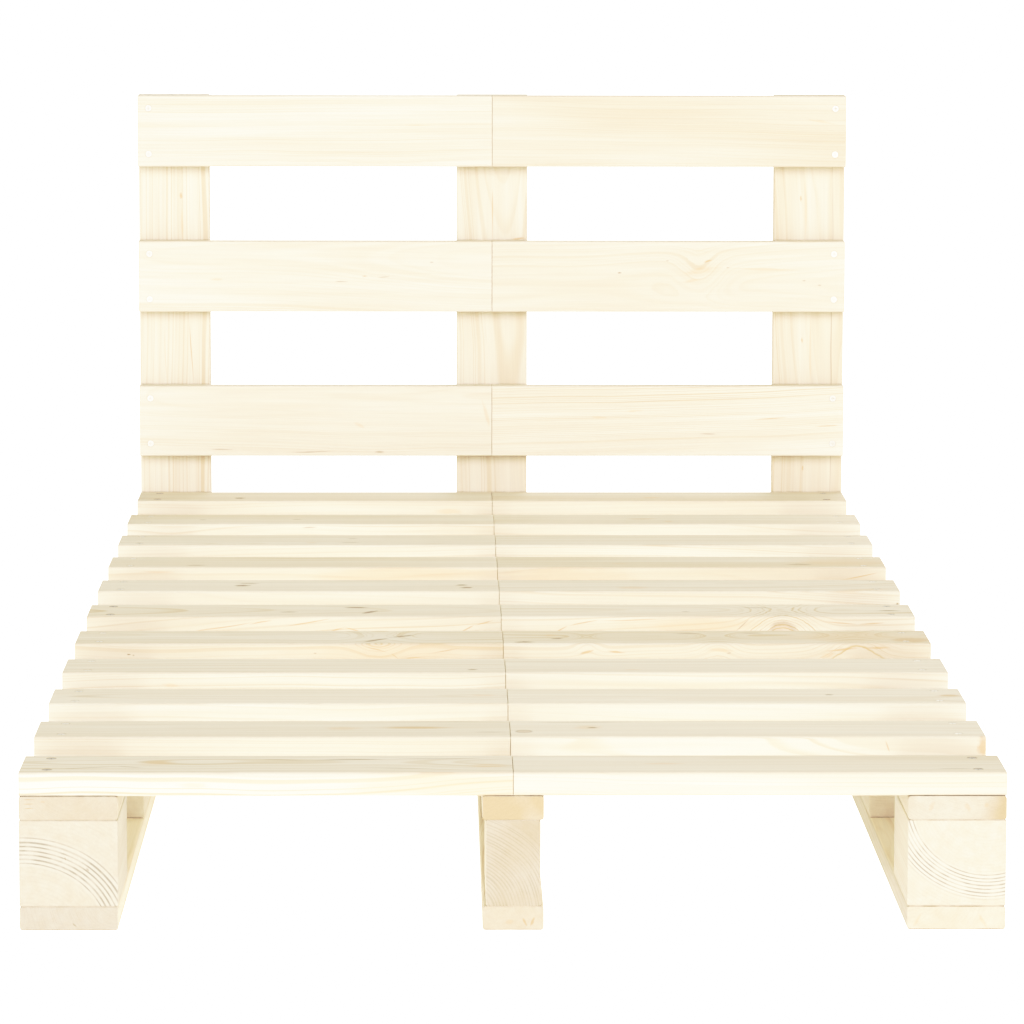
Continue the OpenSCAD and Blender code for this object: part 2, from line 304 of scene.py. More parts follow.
    # Colours, from the wood's own tone to what lies over it.
    streaked = t.ramp(streak, *STREAK_SPAN, 0.0, STREAK_SHARE, soft=False)
    tone = t.mix(streaked, colour(PALE), colour(SUMMER))
    tone = t.mix(t.math("MULTIPLY", t.ramp(drift, *WARM_DRIFT), given["Warmth"]), tone, colour(SUMMER))
    sawn = t.mix(side, tone, colour(SUMMER))
    butt = t.mix(pale, t.mix(END_SHARE, tone, colour(SUMMER)), colour(PALE))
    butt = t.mix(ends, butt, colour(SUMMER_END))
    wood = t.mix(end, sawn, butt)
    canal = t.math("MULTIPLY", canal, t.ramp(end, 0.0, 1.0, CANAL_SHARE, 0.0))
    wood = t.mix(canal, wood, colour(SUMMER_END))
    wood = t.mix(given["Warm"], wood, colour(WARM))
    # Brown marks, and the painted shade of joints and round the screws, which comes in by Brown.
    wood = t.mix(given["Brown"], wood, colour(BROWN))
    wood = t.mix(given["Knot"], wood, colour(KNOT))
    wood = t.mix(given["Rim"], wood, colour(KNOT_RIM))
    value = t.math("MULTIPLY", t.ramp(fibre, *FIBRE_SPAN, *FIBRE_SHADE, soft=False), given["Shade"])
    t.feed(out["Color"], t.vector("SCALE", wood, scale=value))
    t.feed(out["Roughness"], t.ramp(fibre, *FIBRE_SPAN, *FIBRE_ROUGH, soft=False))
    t.feed(out["Height"], t.math("ADD", t.math("MULTIPLY", late, 0.5), t.math("MULTIPLY", fibre, 0.5)))
    return made


KNOT_GROUP = make_knot_group()
MARK_GROUP = make_mark_group()
PINE_GROUP = make_pine_group()

MM = 0.001

# Painted shade in the crevice where two boards meet, drawn as a dark line: how far from a point the other
# board may lie, how dark the painted shade gets, and how far it runs onto the sawn ends of the runners' boards
# and blocks. A point is in the line if less than JOINT_SHUT of it is open, and out of it from JOINT_OPEN.
# JOINT_FAINT is what is left where it is broken.
JOINT_REACH, JOINT_SHADE_DARK, JOINT_EDGE = 0.004, 0.75, 0.0011
JOINT_RAYS, JOINT_SHUT, JOINT_OPEN = 8, 0.30, 0.72
JOINT_BREAK_SCALE, JOINT_BREAK, JOINT_FAINT = 55.0, (0.38, 0.58), 0.45

# Knots by node: the face that the knot comes out of, its place from the face's left end and from its front
# or lower edge, its radius, all in millimetres, how dark it is and how far the rings bend round it.
KNOTS = {
    "slat_right_02": [("top", 13, 29, 7, 0.35, 0.6)],
    "slat_left_05": [("front", 320, 25, 11, 0.0, 1.2)],
    "slat_right_05": [("front", 88, 25, 6, 0.0, 1.2), ("front", 226, 24, 9, 0.0, 1.1),
                      ("front", 370, 24, 13, 0.0, 1.1)],
    "slat_right_06": [("front", 306, 1, 13, 0.30, 3.5)],
    "slat_right_11": [("top", 425, 12, 4, 0.8, 0.6)],
    "headboard_board_right_2": [("front", 265, 52, 12, 0.0, 0.9)],
}

# How brown and how warm each kind of mark in the wood is.
MARK_KINDS = {"dark": (0.78, 0.1), "line": (0.42, 0.1), "amber": (0.17, 0.60), "blush": (0.0, 0.32)}
MARK_DEPTH = 0.004

# Marks by node: kind, face and place as for a knot, length and width, all in millimetres, and how the mark
# is turned, in degrees.
MARKS = {
    "slat_left_01": [
        ("line", "top", 60, 26, 65, 4, 13),
        ("line", "top", 98, 29, 36, 4, -20),
        ("blush", "top", 124, 50, 40, 36, 0),
        ("line", "top", 240, 66, 55, 4, -11),
        ("dark", "top", 300, 66, 85, 5, 4),
        ("line", "top", 378, 71, 90, 4, 2),
        ("line", "top", 345, 22, 66, 4, -5),
        ("blush", "top", 426, 35, 46, 26, 0),
        ("blush", "front", 160, 10, 34, 6, 0),
        ("blush", "front", 400, 11, 240, 40, 0),
    ],
    "slat_right_01": [
        ("blush", "top", 137, 46, 44, 12, 3),
        ("line", "top", 403, 19, 44, 4, 4),
    ],
    "slat_left_02": [
        ("blush", "top", 290, 47, 42, 22, 0),
        ("amber", "top", 360, 50, 80, 17, 0),
        ("line", "top", 390, 83, 120, 4, 0),
        ("line", "top", 430, 24, 36, 4, 0),
    ],
    "slat_right_02": [
        ("line", "top", 68, 80, 115, 4, 0),
        ("dark", "top", 78, 50, 12, 7, 5),
        ("blush", "top", 73, 52, 34, 30, 0),
        ("amber", "front", 357, 12, 14, 2, -70),
        ("amber", "front", 447, 13, 13, 24, 0),
    ],
    "slat_left_03": [
        ("line", "top", 35, 43, 58, 4, 2),
        ("blush", "top", 425, 48, 36, 14, 2),
    ],
    "slat_right_03": [
        ("dark", "top", 318, 50, 11, 7, 3),
        ("amber", "top", 436, 45, 28, 16, 7),
    ],
    "slat_left_04": [
        ("dark", "top", 416, 17, 13, 8, 10),
        ("blush", "front", 110, 8, 24, 5, -5),
    ],
    "slat_right_04": [
        ("blush", "top", 129, 17, 22, 8, 7),
    ],
    "slat_left_05": [
        ("dark", "front", 57, 11, 5, 2, 0),
        ("line", "front", 62, 10, 3, 2, 0),
        ("dark", "top", 314, 21, 50, 9, 46),
        ("dark", "top", 345, 50, 34, 9, 34),
        ("amber", "front", 318, 16, 28, 2, -15),
        ("amber", "front", 336, 9, 12, 2, -40),
        ("amber", "front", 354, 7, 34, 2, 4),
        ("amber", "front", 388, 15, 44, 2, 11),
        ("blush", "front", 340, 11, 260, 40, 0),
        ("line", "front", 253, 12, 4, 2, 0),
    ],
    "slat_right_05": [
        ("dark", "top", 22, 10, 26, 12, 3),
        ("dark", "top", 57, 34, 16, 10, 14),
        ("blush", "top", 50, 54, 24, 26, -5),
        ("line", "top", 197, 68, 34, 9, 4),
        ("line", "top", 265, 70, 32, 9, 0),
        ("amber", "front", 87, 13, 17, 4, 14),
        ("amber", "front", 117, 13, 20, 3, -6),
        ("blush", "front", 228, 16, 34, 5, -4),
        ("line", "front", 237, 13, 6, 2, 5),
        ("blush", "front", 340, 10, 18, 7, 14),
        ("amber", "front", 355, 16, 36, 3, 6),
        ("amber", "front", 393, 18, 36, 3, 0),
        ("blush", "top", 380, 40, 190, 90, 0),
        ("amber", "top", 430, 20, 56, 40, 0),
    ],
    "slat_left_06": [
        ("line", "top", 218, 34, 24, 12, 2),
        ("dark", "top", 292, 66, 30, 12, 0),
        ("dark", "top", 307, 32, 34, 12, 50),
        ("amber", "front", 146, 10, 90, 2, 9),
        ("amber", "front", 190, 16, 30, 2, 10),
        ("amber", "front", 240, 16, 55, 2, 9),
        ("amber", "front", 271, 8, 20, 2, 16),
        ("amber", "front", 289, 8, 22, 2, -17),
        ("amber", "front", 412, 10, 22, 2, 28),
        ("amber", "front", 430, 16, 22, 2, 13),
    ],
    "slat_right_06": [
        ("line", "top", 201, 35, 12, 8, 7),
        ("line", "top", 280, 62, 50, 10, 0),
        ("dark", "top", 423, 41, 30, 9, 0),
        ("blush", "front", 220, 11, 190, 40, 0),
        ("amber", "front", 64, 8, 21, 2, 29),
        ("amber", "front", 88, 15, 36, 2, 10),
        ("amber", "front", 141, 18, 76, 2, 1),
        ("line", "front", 261, 12, 25, 2, 43),
        ("amber", "front", 305, 2, 96, 6, 0),
        ("line", "front", 300, 1, 60, 3, 0),
        ("amber", "front", 368, 15, 40, 2, -4),
        ("amber", "front", 402, 15, 34, 2, 4),
    ],
    "slat_left_07": [
        ("dark", "top", 160, 44, 22, 15, 9),
        ("line", "top", 166, 60, 30, 12, 0),
        ("dark", "top", 409, 47, 17, 12, 0),
        ("dark", "top", 414, 27, 18, 12, 10),
    ],
    "slat_right_07": [
        ("blush", "top", 149, 28, 44, 24, 0),
        ("dark", "front", 447, 7, 5, 4, 57),
        ("blush", "top", 409, 10, 76, 20, 8),
    ],
    "slat_left_08": [
        ("line", "top", 100, 18, 30, 10, 3),
        ("blush", "front", 58, 17, 44, 3, 0),
        ("blush", "front", 330, 11, 330, 40, 0),
    ],
    "slat_right_08": [
        ("blush", "top", 400, 45, 150, 90, 0),
        ("blush", "top", 142, 29, 26, 10, 0),
        ("blush", "front", 70, 11, 200, 40, 0),
        ("line", "top", 351, 24, 40, 18, 0),
        ("amber", "front", 422, 12, 50, 2, 11),
    ],
    "slat_left_09": [
        ("line", "top", 279, 57, 18, 7, 0),
        ("line", "top", 276, 22, 30, 7, 0),
        ("blush", "top", 230, 20, 20, 10, 0),
    ],
    "slat_left_10": [
        ("line", "top", 206, 43, 15, 7, 7),
        ("line", "top", 91, 39, 12, 7, 0),
        ("line", "front", 223, 18, 22, 2, 0),
    ],
    "slat_right_10": [
        ("amber", "top", 181, 46, 45, 9, 2),
        ("blush", "top", 215, 23, 15, 15, 0),
    ],
    "slat_left_11": [
        ("dark", "top", 129, 26, 18, 13, 6),
        ("blush", "front", 394, 8, 40, 8, 0),
    ],
    "slat_right_11": [
        ("blush", "top", 202, 32, 28, 18, 0),
    ],
    "headboard_board_left_1": [
        ("blush", "front", 355, 53, 38, 2, 2),
    ],
    "headboard_board_right_1": [
        ("blush", "front", 417, 57, 42, 4, -11),
    ],
    "headboard_board_left_2": [
        ("line", "front", 258, 38, 20, 2, 2),
        ("amber", "front", 288, 46, 9, 2, 2),
        ("line", "front", 312, 45, 18, 2, 4),
        ("line", "front", 373, 64, 6, 2, 0),
        ("blush", "front", 100, 42, 20, 4, 0),
    ],
    "headboard_board_right_2": [
        ("dark", "front", 162, 50, 6, 2, 0),
        ("line", "front", 223, 65, 5, 2, 0),
        ("blush", "front", 265, 53, 64, 11, 9),
        ("blush", "front", 254, 40, 26, 5, 11),
        ("amber", "front", 275, 65, 13, 3, 16),
        ("line", "front", 300, 57, 5, 2, 0),
        ("blush", "front", 346, 55, 88, 4, -2),
        ("line", "front", 398, 40, 6, 2, 0),
        ("line", "front", 418, 34, 6, 2, 0),
    ],
    "headboard_board_left_3": [
        ("line", "front", 104, 8, 31, 2, 0),
        ("line", "front", 218, 5, 66, 2, 0),
        ("line", "front", 307, 6, 15, 4, -3),
        ("blush", "front", 281, 40, 19, 6, -20),
        ("blush", "front", 443, 53, 42, 6, -76),
    ],
    "headboard_board_right_3": [
        ("blush", "front", 136, 50, 23, 4, 0),
        ("blush", "front", 182, 58, 28, 3, 2),
        ("amber", "front", 356, 49, 48, 2, 2),
        ("amber", "front", 428, 38, 38, 2, 2),
        ("line", "front", 278, 29, 26, 2, 0),
    ],
    "post_left": [
        ("amber", "front", 54, 526, 10, 5, 90),
        ("blush", "front", 54, 489, 44, 4, 90),
        ("amber", "front", 65, 328, 95, 2, -86),
        ("blush", "front", 32, 324, 88, 2, -88),
    ],
    "post_centre": [
        ("amber", "front", 46, 504, 74, 2, -89),
        ("amber", "front", 80, 472, 20, 4, 4),
    ],
    "post_right": [
        ("line", "front", 75, 347, 600, 2, 90),
        ("amber", "front", 34, 524, 9, 3, 90),
        ("amber", "front", 38, 342, 9, 3, 90),
        ("amber", "front", 39, 176, 9, 3, 90),
        ("blush", "front", 40, 514, 92, 4, 90),
        ("blush", "front", 49, 328, 95, 4, 90),
    ],
    "bottom_boards_left": [
        ("line", "front", 50, 5, 6, 2, -39),
    ],
    "bottom_boards_centre": [
        ("amber", "front", 39, 8, 10, 3, -62),
        ("amber", "front", 46, 8, 10, 3, 70),
        ("blush", "front", 25, 8, 10, 6, 0),
    ],
    "top_boards_left": [
        ("amber", "front", 9, 19, 12, 1, 0),
        ("amber", "front", 9, 15, 12, 1, 0),
        ("amber", "front", 9, 11, 12, 1, 0),
        ("blush", "front", 22, 17, 6, 3, 0),
    ],
    "top_boards_right": [
        ("blush", "front", 21, 12, 12, 6, 64),
        ("blush", "front", 54, 12, 12, 6, -63),
        ("blush", "front", 71, 14, 6, 6, 0),
    ],
    "bottom_boards_right": [
        ("blush", "front", 10, 9, 17, 4, 64),
        ("blush", "front", 69, 9, 18, 4, -58),
    ],
    "block_left_1": [
        ("line", "front", 42, 44, 4, 2, -60),
        ("line", "front", 63, 34, 5, 2, -45),
    ],
}

# Where the screws are, by name prefix: their face and how far they lie from the board's outer end. Two
# screws lie SCREW_SPREAD to either side of the board's middle. Round each head, of radius SCREW_HEAD, a ring
# SCREW_RING wide gets painted shade, as of the gap round a sunk head.
SCREW_PLACES = {"slat_": ("top", 0.025), "headboard_board_": ("front", 0.014)}
SCREW_SPREAD, SCREW_HEAD, SCREW_RING = 0.029, 0.0041, 0.0014

# How bright the zinc is, which share of it mirrors and how dull it gets on each kind of screw. Rows with
# dull screws are given by their left slats.
ZINC = {"slat_screws": (1.16, 0.45, 0.35), "headboard_screws": (1.22, 0.45, 0.25)}
ZINC_USUAL = (1.0, 1.0, 1.0)
DULL_ROWS = ("slat_left_01", "slat_left_06", "slat_left_11")

# Bright and dull zinc, and how bright it is where it is scuffed. Then how fine scuffs and dull patches are,
# where in their noise they lie, and the scuffs' roughness and bump.
ZINC_BRIGHT, ZINC_DULL, ZINC_SCUFFED = (0.72, 0.68, 0.57), (0.44, 0.41, 0.35), 0.85
SCUFF_SCALE, SCUFF_SPAN, SCUFF_ROUGH = 900.0, (0.2, 0.8), (0.30, 0.48)
SCUFF_BUMP, SCUFF_HEIGHT = 0.3, 0.0001
DULL_SCALE, DULL_SPAN = 6.0, (0.42, 0.62)

# What is known of a board's wood. The rest is drawn at random. pith is how far the trunk's middle lies from
# the board's, across the grain, or trunk says where it is in X and Z, and lean is how the trunk tilts, in
# degrees. bold is the span of radii with bold rings on the sawn ends, and plain means that there are none.
# warmth and shade are the sides' tone, end_warmth and end_shade the sawn ends', and the top's own shade is
# painted light, which makes a top paler than its sides. ring is how dark the painted shade round the screws
# is, and joint how dark the painted shade of a joint is along a runner piece's edges on its sawn ends.
BOARDS = {
    "slat_left_01": {"pith": (0.010, -0.052), "lean": (-1.6, 0.4), "spacing": 0.0034, "contrast": 0.60,
                     "wave": 1.6, "warmth": 0.0, "ring": 0.55},
    "slat_right_01": {"pith": (0.020, -0.070), "lean": (0.2, 0.3), "spacing": 0.0030, "contrast": 0.35,
                      "ring": 0.70},
    "slat_left_02": {"pith": (0.010, -0.085), "lean": (0.3, 0.5), "spacing": 0.0030, "contrast": 0.40,
                     "warmth": 0.20},
    "slat_right_02": {"contrast": 0.45, "warmth": 0.0, "shade": 1.01},
    "slat_left_03": {"contrast": 0.35, "warmth": 0.0, "shade": 1.005},
    "slat_right_03": {"contrast": 0.30, "warmth": 0.0, "shade": 1.01},
    "slat_left_04": {"warmth": 0.0, "shade": 0.99},
    "slat_right_04": {"warmth": 0.0, "shade": 0.99},
    "slat_left_05": {"pith": (0.015, -0.060), "lean": (0.6, 0.3), "spacing": 0.0034, "contrast": 0.75,
                     "wave": 1.4, "warmth": 0.45, "shade": 0.98},
    "slat_right_05": {"pith": (0.012, 0.055), "lean": (-0.5, 0.4), "spacing": 0.0032, "contrast": 0.75,
                      "wave": 1.6, "warmth": 0.45, "shade": 0.99},
    "slat_left_06": {"pith": (0.0, 0.085), "lean": (-4.0, 0.0), "spacing": 0.0080, "contrast": 0.85,
                     "warmth": 0.20, "uneven": 0.8, "ring": 0.70},
    "slat_right_06": {"pith": (0.0, 0.080), "lean": (-1.5, 0.0), "spacing": 0.0055, "contrast": 0.80,
                      "warmth": 0.20, "uneven": 0.6},
    "slat_left_07": {"warmth": 0.25, "contrast": 0.35},
    "slat_right_07": {"warmth": 0.0, "shade": 0.98},
    "slat_left_08": {"warmth": 0.35, "shade": 1.02},
    "slat_right_08": {"warmth": 0.45, "shade": 0.99},
    "slat_left_09": {"shade": 1.02},
    "slat_right_09": {"shade": 1.01},
    "slat_left_10": {"shade": 1.02},
    "slat_right_10": {"shade": 1.01},
    "slat_left_11": {"warmth": 0.30, "shade": 0.98, "ring": 0.60},
    "slat_right_11": {"warmth": 0.25, "shade": 0.98},
    "headboard_board_right_1": {"warmth": 0.50},
    "headboard_board_right_3": {"warmth": 0.0, "shade": 0.96},
    "post_right": {"warmth": 0.40},
    "top_boards_centre": {"end_warmth": 1.6, "end_shade": 0.85, "contrast": 0.2, "plain": True,
                          "joint": 0.35},
    "top_boards_left": {"shade": 0.92, "end_warmth": 0.45, "end_shade": 0.78, "plain": True},
    "top_boards_right": {"warmth": 0.40, "shade": 0.90, "end_warmth": 1.50, "end_shade": 0.80,
                         "plain": True},
    # Painted light: the bottom boards' tops are paler than their sides, the right one's sides painted darker.
    "bottom_boards_left": {"shade": 1.08, "top_painted_light": 1.22, "end_shade": 0.71, "plain": True,
                           "joint": 0.40},
    "bottom_boards_centre": {"end_warmth": 0.40, "end_shade": 0.81, "plain": True, "joint": 0.15},
    "bottom_boards_right": {"shade": 0.84, "top_painted_light": 1.15, "end_warmth": 0.35, "end_shade": 0.89,
                            "plain": True, "joint": 1.0},
    "block_left_1": {"trunk": (-0.445, -0.015), "spacing": 0.0040, "bold": (0.0760, 0.1020), "uneven": 0.35,
                     "wave": 0.35, "shade": 0.82, "end_shade": 0.79, "joint": 0.40},
    "block_right_1": {"trunk": (0.433, 0.122), "spacing": 0.0032, "bold": (0.0710, 0.0920), "uneven": 0.35,
                      "wave": 0.35, "shade": 0.92, "end_shade": 0.88, "joint": 0.65},
    "block_centre_1": {"trunk": (-0.060, 0.005), "spacing": 0.0031, "bold": (0.0300, 0.1100), "uneven": 1.2,
                       "wave": 1.2, "end_shade": 0.73, "end_warmth": 0.7, "bold_strength": 0.30},
    "block_left_2": {"shade": 0.95},
    "block_right_2": {"warmth": 0.40, "shade": 0.88},
}

# By name prefix: the grain's axis, the range of ring contrast and the usual shade.
KINDS = [
    ("slat_", GRAIN_X, (0.30, 0.75), 1.00),
    ("headboard_board_", GRAIN_X, (0.25, 0.60), 0.94),
    ("top_boards_", GRAIN_Y, (0.30, 0.60), 1.00),
    ("bottom_boards_", GRAIN_Y, (0.30, 0.60), 1.00),
    ("block_", GRAIN_Y, (0.30, 0.60), 1.00),
    ("post_", GRAIN_Z, (0.35, 0.75), 0.94),
]

# What is drawn at random for a board that doesn't have its own: how far off the pith lies, the trunk's lean,
# the rings' spacing, the noise's seed, the warmth, the share of the usual shade, and how far bold rings go.
DRAWN_REACH, DRAWN_LEAN, DRAWN_SPACING = (0.035, 0.110), (-1.6, 1.6), (0.0022, 0.0042)
DRAWN_SEED, DRAWN_WARMTH, DRAWN_SHADE, DRAWN_BOLD = (0.0, 40.0), (0.0, 0.25), (0.98, 1.01), (0.0, 0.0, 0.2)

# What every board has unless BOARDS says otherwise.
USUAL_WOOD = {"bold_strength": 1.0, "wave": 1.0, "uneven": 2.2, "plain": False, "trunk": None, "joint": 0.22,
              "ring": 0.15}

# The runners' pieces, whose tones aren't drawn at random.
RUNNER_PIECES = ("top_boards_", "block_", "bottom_boards_")

# How squarely a face looks along the grain, or up, where a side's looks turn into an end's, or into a top's
# painted light.
FACING = (0.55, 0.90)

# The axes that lie in a face.
FACE_FLAT = {"top": (1, 1, 0), "front": (1, 0, 1)}

# How Z turns to lie along the grain.
AXIS_TURN = {GRAIN_X: (0.0, math.pi / 2, 0.0), GRAIN_Y: (-math.pi / 2, 0.0, 0.0), GRAIN_Z: (0.0, 0.0, 0.0)}


def wood_of(name, contrast, shade):
    """What the board's wood is like: drawn by a generator seeded by its name, then set by BOARDS."""
    chance = random.Random(name)
    angle, reach = chance.uniform(0, 2 * math.pi), chance.uniform(*DRAWN_REACH)
    wood = {
        **USUAL_WOOD,
        "pith": (reach * math.cos(angle), reach * math.sin(angle)),
        "lean": (chance.uniform(*DRAWN_LEAN), chance.uniform(*DRAWN_LEAN)),
        "spacing": chance.uniform(*DRAWN_SPACING),
        "contrast": chance.uniform(*contrast),
        "seed": chance.uniform(*DRAWN_SEED),
        "warmth": chance.uniform(*DRAWN_WARMTH),
        "shade": shade * chance.uniform(*DRAWN_SHADE),
        "bold": (0.0, chance.choice(DRAWN_BOLD)),
    }
    if name.startswith(RUNNER_PIECES):
        wood.update({"warmth": 0.0, "shade": shade})
    wood.update(BOARDS.get(name, {}))
    wood.setdefault("end_warmth", wood["warmth"])
    wood.setdefault("end_shade", wood["shade"])
    wood.setdefault("top_painted_light", wood["shade"])
    if wood["plain"]:
        wood["bold"] = (0.0, 0.0)
    return wood


def trunk_of(name, grain, wood):
    """Where the board's pith lies and how the trunk leans, as a Mapping node's location and rotation."""
    low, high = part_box(name)
    middle = (low + high) / 2
    across = [n for n in range(3) if not grain[n]]
    place, turn = list(middle), list(AXIS_TURN[grain])
    for n, offset, lean in zip(across, wood["pith"], wood["lean"]):
        place[n] += offset
        turn[n] += math.radians(lean)
    if wood["trunk"]:
        x, z = wood["trunk"]
        place = [x, low.y, z]
    return place, turn


def face_point(name, face, along, across):
    """A point on the board's top or front face, along from its left end and across from its nearer edge."""
    low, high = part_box(name)
    if face == "top":
        return (low.x + along * MM, low.y + across * MM, high.z)
    return (low.x + along * MM, low.y, low.z + across * MM)


def mark_frame(name, face, along, across, length, width, turn):
    """A mark's own frame on its board, as a Mapping node's location, rotation and scale."""
    half_length, half_width, turn = length / 2 * MM, width / 2 * MM, math.radians(turn)
    frames = {"top": ((0.0, 0.0, turn), (half_length, half_width, MARK_DEPTH)),
              "front": ((0.0, -turn, 0.0), (half_length, MARK_DEPTH, half_width))}
    rotation, scale = frames[face]
    return {"Location": face_point(name, face, along, across), "Rotation": rotation, "Scale": scale}


def add_marks(t, where, name):
    """The board's marks, each read in its own frame. Gives how brown and how warm the wood is."""
    sway = t.noise(where, scale=MARK_SWAY_RATE, detail=1.0, colour=True)
    sway = t.vector("SUBTRACT", sway, NOISE_MIDDLE)
    bent = t.vector("ADD", where, t.vector("SCALE", sway, scale=MARK_SWAY))
    last = None
    for number, (kind, *shape) in enumerate(MARKS[name]):
        brown, warm = MARK_KINDS[kind]
        spot = t.add("ShaderNodeMapping", {"Vector": bent, **mark_frame(name, *shape)},
                     vector_type="TEXTURE")
        mark = t.add("ShaderNodeGroup", node_tree=MARK_GROUP)
        for title, value in (("Spot", spot.outputs["Vector"]), ("Seed", number * MARK_SEED_STEP),
                             ("Mark brown", brown), ("Mark warm", warm)):
            t.feed(mark.inputs[title], value)
        if last is not None:
            for title in ("Brown", "Warm"):
                t.feed(mark.inputs[title], last.outputs[title])
        last = mark
    return last.outputs


def add_knots(t, where, name):
    """The board's knots. Gives how much of a point is knot and rim, and how far the rings bend there."""
    last = None
    for face, along, across, radius, dark, bend in KNOTS[name]:
        centre = face_point(name, face, along, across)
        knot = t.add("ShaderNodeGroup", node_tree=KNOT_GROUP)
        for title, value in (("Place", where), ("Centre", centre), ("Flat", FACE_FLAT[face]),
                             ("Radius", radius * MM), ("Dark", dark), ("Bend", bend)):
            t.feed(knot.inputs[title], value)
        if last is not None:
            for title in ("Knot", "Rim", "Push"):
                t.feed(knot.inputs[title], last.outputs[title])
        last = knot
    return last.outputs


def painted_screw_shade(t, where, name, strength):
    """How much of a point gets painted shade round one of the two screws in the board's outer end."""
    face, inset = next(place for prefix, place in SCREW_PLACES.items() if name.startswith(prefix))
    low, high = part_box(name)
    middle = (low + high) / 2
    x = low.x + inset if middle.x < 0 else high.x - inset
    flat = FACE_FLAT[face]
    off = t.vector("SUBTRACT", where, (x, middle.y, middle.z))
    off = t.vector("ABSOLUTE", t.vector("MULTIPLY", off, flat))
    off = t.vector("SUBTRACT", off, (0.0, flat[1] * SCREW_SPREAD, flat[2] * SCREW_SPREAD))
    return t.ramp(t.vector("LENGTH", off), SCREW_HEAD, SCREW_HEAD + SCREW_RING, strength, 0.0)


def painted_joint_shade(t, where, end, name, strength):
    """How much of a point gets painted shade from nearby boards, as in a joint's crevice, broken here and
    there.
    On a sawn end of the runners the painted shade also lies along the upper and the lower edge."""
    openness = t.add("ShaderNodeAmbientOcclusion", {"Distance": JOINT_REACH}, samples=JOINT_RAYS)
    line = t.ramp(openness.outputs["AO"], JOINT_SHUT, JOINT_OPEN, JOINT_SHADE_DARK, 0.0)
    if name.startswith(RUNNER_PIECES):
        low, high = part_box(name)
        height = t.add("ShaderNodeSeparateXYZ", {"Vector": where}).outputs["Z"]
        off = t.math("MINIMUM", t.math("SUBTRACT", height, low.z), t.math("SUBTRACT", high.z, height))
        edge = t.ramp(off, JOINT_EDGE / 2, JOINT_EDGE, strength, 0.0)
        line = t.math("MAXIMUM", line, t.math("MULTIPLY", edge, end))
    broken = t.ramp(t.noise(where, scale=JOINT_BREAK_SCALE), *JOINT_BREAK, JOINT_FAINT, 1.0)
    return t.math("MULTIPLY", line, broken)


def make_pine(name, grain, contrast, shade):
    """The pine of one board, cut from its own trunk."""
    wood = wood_of(name, contrast, shade)
    place, turn = trunk_of(name, grain, wood)
    made = bpy.data.materials.new("pine_" + name)
    made.use_nodes = True
    made.node_tree.nodes.clear()
    t = Tree(made.node_tree)
    coordinates = t.add("ShaderNodeTexCoord").outputs
    where = coordinates["Object"]
    trunk = t.add("ShaderNodeMapping", {"Vector": where, "Location": place, "Rotation": turn},
                  vector_type="TEXTURE").outputs["Vector"]
    facing = t.math("ABSOLUTE", t.vector("DOT_PRODUCT", coordinates["Normal"], grain))
    # Painted light: a top can take its own shade, paler than the sides.
    upward = t.add("ShaderNodeSeparateXYZ", {"Vector": coordinates["Normal"]}).outputs["Z"]
    shade = t.ramp(upward, *FACING, wood["shade"], wood["top_painted_light"])
    pine = t.add("ShaderNodeGroup", node_tree=PINE_GROUP)
    given = {
        "Log": trunk, "End": t.ramp(facing, *FACING), "Seed": wood["seed"], "Spacing": wood["spacing"],
        "Contrast": wood["contrast"], "Wave": wood["wave"], "Uneven": wood["uneven"],
        "Bold from": wood["bold"][0], "Bold to": wood["bold"][1], "Bold strength": wood["bold_strength"],
        "Warmth": t.ramp(facing, *FACING, wood["warmth"], wood["end_warmth"]),
        "Shade": t.ramp(facing, *FACING, shade, wood["end_shade"]),
    }
    if name in KNOTS:
        knots = add_knots(t, where, name)
        given.update({title: knots[title] for title in ("Knot", "Rim", "Push")})
    if name in MARKS:
        marks = add_marks(t, where, name)
        given.update({title: marks[title] for title in ("Brown", "Warm")})
    if name.startswith(tuple(SCREW_PLACES)):
        # Painted shade round the screw heads, mixed in as brown.
        ring = painted_screw_shade(t, where, name, wood["ring"])
        given["Brown"] = t.math("MAXIMUM", ring, given.get("Brown", 0.0))
    # Painted shade at the joints, mixed in as brown.
    joint = painted_joint_shade(t, where, given["End"], name, wood["joint"])
    given["Brown"] = t.math("MAXIMUM", joint, given.get("Brown", 0.0))
    for title, value in given.items():
        t.feed(pine.inputs[title], value)
    bump = t.add("ShaderNodeBump", {"Height": pine.outputs["Height"], "Strength": PINE_BUMP,
                                   "Distance": PINE_BUMP_HEIGHT})
    shader = t.add("ShaderNodeBsdfPrincipled", {"Base Color": pine.outputs["Color"],
                                                "Roughness": pine.outputs["Roughness"],
                                                "Normal": bump.outputs["Normal"]})
    shader.inputs["Specular IOR Level"].default_value = PINE_SPECULAR
    t.add("ShaderNodeOutputMaterial", {"Surface": shader.outputs[0]})
    return made


